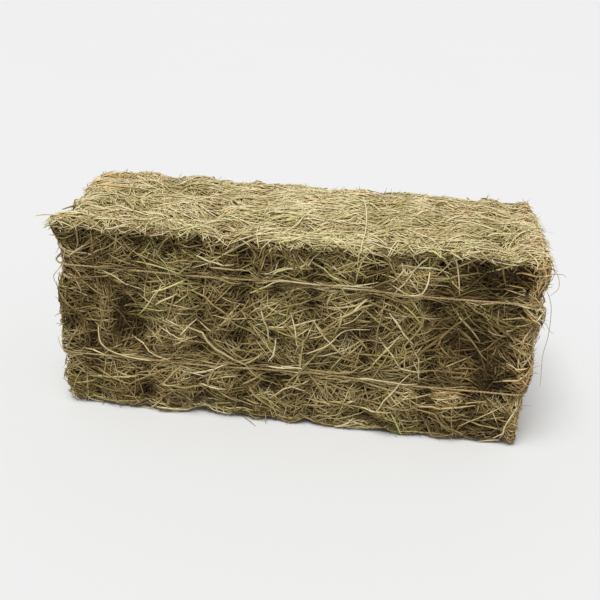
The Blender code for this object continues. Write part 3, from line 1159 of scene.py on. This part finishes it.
def add_stray(work, width, tone, tint, places):
    """Add one closed stem with its tone, tint and place along."""
    path, naps = lifted(places)
    rings = []
    for number, (place, nap) in enumerate(zip(path, naps)):
        ahead = path[min(number + 1, len(path) - 1)] - path[max(number - 1, 0)]
        side = ahead.cross(nap).normalized()
        up = side.cross(ahead).normalized()
        share = number / (len(path) - 1)
        reach = width * 0.5 * (1.05 - 0.45 * share) * (1.0 - 0.5 * abs(2.0 * share - 1.0) ** 6)
        ring = []
        for corner in range(STRAY_SIDES):
            angle = 2.0 * pi * corner / STRAY_SIDES
            vertex = work.verts.new(place + (side * cos(angle) + up * 0.8 * sin(angle)) * reach)
            for name, value in (("tone", tone), ("tint", tint), ("along", share)):
                vertex[work.verts.layers.float[name]] = value
            ring.append(vertex)
        rings.append(ring)
    faces = [work.faces.new(rings[0]), work.faces.new(rings[-1])]
    for first, second in zip(rings, rings[1:]):
        for corner in range(STRAY_SIDES):
            following = (corner + 1) % STRAY_SIDES
            quad = (first[corner], first[following], second[following], second[corner])
            faces.append(work.faces.new(quad))
    bmesh.ops.recalc_face_normals(work, faces=faces)
    return faces


def add_strays(piece, node):
    """Add the stray stems of one flake to its mesh."""
    own = [stray[1:] for stray in STRAYS if stray[0] == node]
    if not own:
        return
    work = bmesh.new()
    work.from_mesh(piece.data)
    straw = piece.data.materials[:].index(STRAW)
    for stray in own:
        for face in add_stray(work, *stray):
            face.smooth = True
            face.material_index = straw
    work.to_mesh(piece.data)
    work.free()


print("places given for stray stems", sum(len(stray[4]) for stray in STRAYS))

# %% [markdown]
# ## Ten flakes
# Each flake gets its own seed and its own tone. The one before the last is darker, partly as if it had
# been wet and partly as painted shade of its set-back front, and the last one is frayed and rusty. Each
# finished flake takes the place of its packed form.

# %% Dress the flakes
# flake_09's darker tone is partly painted shade of its set-back front
FLAKE_TONES = {
    "flake_01": -0.05,
    "flake_04": -0.06,
    "flake_08": -0.10,
    "flake_09": -0.26,
    "flake_10": 0.12,
}
FRAYED = "flake_10"
FRAYED_RUST = 0.40
PAST_END = 0.05

total = 0
for number, node in enumerate(FLAKES):
    values = dict(FLAKE_INPUTS)
    values.update({"Stem material": STRAW, "Heart material": HEART, "Skin": SKIN})
    values["Seed"] = 17 * number + 3
    values["Left"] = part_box(node)[0].x - (PAST_END if number == 0 else 0.0)
    values["Right"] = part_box(node)[1].x + (PAST_END if number == len(FLAKES) - 1 else 0.0)
    values["Tone"] = FLAKE_TONES.get(node, 0.03 * (number % 3) - 0.03)
    values["Rust"] = FRAYED_RUST if node == FRAYED else 0.0
    values["Curl"] = 1.0 if node == FRAYED else 0.0
    piece = run_tree(f"{node}_straw", merged_form(node + "_form", node), FLAKE_TREE, values)
    add_strays(piece, node)
    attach(piece, "root")
    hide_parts(node)
    total += triangles(piece)
    print(piece.name, triangles(piece), "triangles")
bpy.data.objects.remove(SKIN)
print("flakes in all", total)

# %% [markdown]
# ## Twine material
# Sisal is a coarse tan fibre, darker between the strands and paler where it is fuzzy. The twist itself
# is modelled, so at this size a fine noise for the fibres and a slow one for worn patches are enough.

# %% Sisal
TWINE_STOPS = (
    (0.25, (0.150, 0.097, 0.036)),
    (0.50, (0.410, 0.295, 0.130)),
    (0.80, (0.660, 0.540, 0.310)),
)


def twine_material():
    material, tree, shader = new_material("sisal twine")
    place = own_place(tree)
    fibres = speckle(tree, place, 700.0, 3.0)
    patches = speckle(tree, place, 30.0)
    shade = fibres * 0.7 + patches * 0.3
    color = ramped(tree, TWINE_STOPS, shade)
    bump = bumped(tree, fibres, 0.5, 0.0006)
    feed(tree, shader, Base_Color=color, Roughness=0.75 + fibres * 0.15, Normal=bump)
    return material


SISAL = twine_material()
print("sisal:", len(SISAL.node_tree.nodes), "nodes")

# %% [markdown]
# ## A strand of twine
# Two strands wind round a common route. Their angle comes from the place along the spline, with a whole
# number of turns, so that a closed loop meets itself. The free ends of a knot fray: there the strands
# part towards the tip.

# %% Strand
TWINE_INPUTS = {
    "Strand radius": 0.00108,
    "Strand offset": 0.00090,
    "Pitch": 0.0150,
    "Hair density": 18000.0,
    "Hair length": 0.0075,
    "Seed": 0,
    "Material": "NodeSocketMaterial",
}
STRAND_SIDES = 5


def strand(tree, spine, given, half_turn):
    """One of the two strands, wound round the route."""
    along = tree.add("GeometryNodeSplineParameter", {}, {}, "Factor")
    length = tree.add("GeometryNodeSplineLength", {}, {}, "Length")
    closed = tree.add("GeometryNodeInputSplineCyclic", {}, {}, 0)
    turns = (length / given["Pitch"]).through("ROUND")
    angle = (along * turns + half_turn) * 2.0 * pi
    tip = along ** 5.0 * (1.0 - closed)
    reach = given["Strand offset"] * (1.0 + tip * 2.5)
    normal = tree.add("GeometryNodeInputNormal")
    side = tree.vector("CROSS_PRODUCT", tree.add("GeometryNodeInputTangent"), normal)
    wound = tree.vector(
        "ADD",
        tree.scaled(normal, angle.through("COSINE") * reach),
        tree.scaled(side, angle.through("SINE") * reach),
    )
    uneven = speckle(tree, tree.position(), 90.0) * 0.35 + 0.83
    girth = given["Strand radius"] * uneven * (1.0 - tip * 0.5)
    return swept(tree, moved(tree, spine, Offset=wound), circle(tree, STRAND_SIDES), girth)


print(len(TWINE_INPUTS), "inputs to a twine")

# %% [markdown]
# ## Hairs and the whole twine
# Sisal is hairy. Fine bent hairs stand out of the strands all along, each a line with a thin section.
# The strands and their hairs together are the twine.

# %% Twine tree
HAIR_SIDES = 3
HAIR_RADIUS = 0.00022
HAIR_BEND = 0.004
SPINE_STEP = 0.0030


def hairs_on(tree, strands, given):
    """Short fine hairs that stand out of the strands."""
    sockets = {"Mesh": strands, "Density": given["Hair density"], "Seed": given["Seed"]}
    points, normal = tree.add("GeometryNodeDistributePointsOnFaces", {}, sockets, ("Points", "Normal"))
    settings = {"data_type": "FLOAT_VECTOR"}
    astray = tree.add("FunctionNodeRandomValue", settings, {"Seed": given["Seed"] + 3})
    astray = tree.vector("SUBTRACT", astray, (0.5, 0.5, 0.5))
    ahead = tree.vector("ADD", tree.scaled(normal, 0.45), tree.scaled(astray, 2.4))
    ahead = tree.vector("NORMALIZE", ahead)
    length = random_value(tree, 0.4, 1.3, given["Seed"] + 5) * given["Hair length"]
    hairs = lines_at(tree, points, facing(tree, ahead, normal), length, 0.0, 3)
    bend = tree.scaled(drift(tree, tree.position(), 160.0), HAIR_BEND)
    hairs = moved(tree, hairs, Offset=bend)
    return swept(tree, hairs, circle(tree, HAIR_SIDES, HAIR_RADIUS))


def twine_tree():
    tree, given = new_group("lay twine", TWINE_INPUTS)
    sockets = {"Curve": given["Geometry"], "Length": SPINE_STEP}
    spine = tree.add("GeometryNodeResampleCurve", {"mode": "LENGTH"}, sockets)
    both = [strand(tree, spine, given, 0.0), strand(tree, spine, given, 0.5)]
    strands = tree.add("GeometryNodeJoinGeometry", {}, {"Geometry": both})
    parts = (strands, hairs_on(tree, strands, given))
    return close_group(tree, [shaded(tree, part, given["Material"]) for part in parts])


TWINE_TREE = twine_tree()
print("twine tree:", len(TWINE_TREE.nodes), "nodes")

# %% [markdown]
# ## Two twines with their knots
# Each twine is one curve of four splines: the closed loop, a coil of two and a half turns for the knot
# on the back, and the two free ends that leave it along the groove and lift out.

# %% Lay the twines
COIL_RADIUS = 0.0050
COIL_LENGTH = 0.013
COIL_TURNS = 2.5
COIL_STEPS = 30
TAIL_LENGTH = 0.044
TAIL_LIFT = 0.0110
TAIL_RISES = (0.012, -0.014)
TAIL_STEPS = 10


def coil_route(center):
    """The knot: turns round the twine, leaning and closing at its ends."""
    route = []
    for step in range(COIL_STEPS + 1):
        share = step / COIL_STEPS
        angle = share * COIL_TURNS * 2.0 * pi
        radius = COIL_RADIUS * (0.65 + 0.35 * sin(pi * share))
        turned = Vector((COIL_LENGTH * (share - 0.5), radius * cos(angle), radius * sin(angle)))
        route.append(center + turned)
    return route


def tail_route(center, rise):
    """A free end of the knot."""
    route = []
    for step in range(TAIL_STEPS + 1):
        share = step / TAIL_STEPS
        across = rise * share + 0.003 * sin(pi * share)
        route.append(center + Vector((TAIL_LENGTH * share, TAIL_LIFT * share ** 1.5, across)))
    return route


def twine_curve(name):
    curve = bpy.data.curves.new(name + "_route", "CURVE")
    curve.dimensions = "3D"
    center = knot_place(name)
    routes = [twine_route(TWINE_LEVELS[name]), coil_route(center)]
    routes += [tail_route(center, rise) for rise in TAIL_RISES]
    for number, route in enumerate(routes):
        spline = curve.splines.new("POLY")
        spline.points.add(len(route) - 1)
        for control, place in zip(spline.points, route):
            control.co = (*place, 1.0)
        spline.use_cyclic_u = number == 0
    return add_object(name + "_route", curve)


for number, node in enumerate(TWINES):
    values = dict(TWINE_INPUTS)
    values.update({"Material": SISAL, "Seed": 40 + number})
    piece = run_tree(f"{node}_sisal", twine_curve(node), TWINE_TREE, values)
    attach(piece, "root")
    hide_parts(node)
    print(piece.name, triangles(piece), "triangles")

# %% [markdown]
# ## A floor
# A wide pale floor catches the bale's shadow and throws a little light back on its foot.

# %% Floor
FLOOR_SIZE = 30.0
FLOOR_LIGHT = (0.70, 0.70, 0.69, 1.0)
FLOOR_DARK = (0.66, 0.66, 0.65, 1.0)


def floor_material():
    material, tree, shader = new_material("pale floor")
    soft = speckle(tree, own_place(tree), 0.7, 1.0)
    color = tree.tinted(soft * 0.25, FLOOR_LIGHT, FLOOR_DARK)
    feed(tree, shader, Base_Color=color, Roughness=0.85, Specular_IOR_Level=0.1)
    return material


def add_floor():
    mesh = bpy.data.meshes.new("floor")
    plate = bmesh.new()
    bmesh.ops.create_grid(plate, x_segments=1, y_segments=1, size=FLOOR_SIZE / 2.0)
    plate.to_mesh(mesh)
    plate.free()
    mesh.materials.append(floor_material())
    floor = add_object("floor", mesh)


add_floor()
print("floor", FLOOR_SIZE, "metres wide")

# %% [markdown]
# ## Light
# The light comes mostly from above, through a soft wide sun, so the top is bright and the front falls
# into its own small shadows. An even sky fills them a little.

# %% Lights
SUN_AZIMUTH = -20.0
SUN_ELEVATION = 70.0
SUN_STRENGTH = 3.0
SUN_SOFTNESS = 35.0
SKY_STRENGTH = 0.39
SKY_COLOR = (0.95, 0.97, 1.0, 1.0)


def way_to(azimuth, elevation):
    """The way from the bale to a lamp or camera, from degrees round it and degrees up."""
    turn = radians(azimuth)
    rise = radians(elevation)
    return Vector((sin(turn) * cos(rise), -cos(turn) * cos(rise), sin(rise)))


def add_sun(name, azimuth, elevation, strength, softness):
    """A soft lamp at an azimuth and elevation, in degrees."""
    light = bpy.data.lights.new(name, "SUN")
    light.energy = strength
    light.angle = radians(softness)
    lamp = add_object(name, light)
    lamp.rotation_mode = "QUATERNION"
    lamp.rotation_quaternion = (-way_to(azimuth, elevation)).to_track_quat("-Z", "Y")


def set_sky(strength):
    world = bpy.data.worlds.new("studio")
    world.use_nodes = True
    background = world.node_tree.nodes["Background"]
    background.inputs["Color"].default_value = SKY_COLOR
    background.inputs["Strength"].default_value = strength
    bpy.context.scene.world = world


add_sun("overhead", SUN_AZIMUTH, SUN_ELEVATION, SUN_STRENGTH, SUN_SOFTNESS)
set_sky(SKY_STRENGTH)
bpy.context.scene.view_settings.view_transform = "Standard"
print("sun", SUN_STRENGTH, "sky", SKY_STRENGTH)

# %% [markdown]
# ## Camera
# The camera stands a little to the right of the middle, looks down on the bale and is rolled by a few
# degrees, as a hand-held one is.

# %% Camera
CAMERA_AZIMUTH = 5.0
CAMERA_ELEVATION = 26.0
CAMERA_DISTANCE = 1.80
CAMERA_ROLL = 3.0
CAMERA_LENS = 49.0
SENSOR = 36.0


def add_camera():
    data = bpy.data.cameras.new("camera")
    data.lens = CAMERA_LENS
    data.sensor_width = SENSOR
    camera = add_object("camera", data)
    back = way_to(CAMERA_AZIMUTH, CAMERA_ELEVATION)
    middle = (cad_low + cad_high) / 2.0
    aim = (-back).to_track_quat("-Z", "Y").to_matrix().to_4x4()
    roll = Matrix.Rotation(radians(CAMERA_ROLL), 4, "Z")
    camera.matrix_world = Matrix.Translation(middle + back * CAMERA_DISTANCE) @ aim @ roll
    bpy.context.scene.camera = camera


add_camera()
print("camera", tuple(round(part, 3) for part in bpy.context.scene.camera.location))
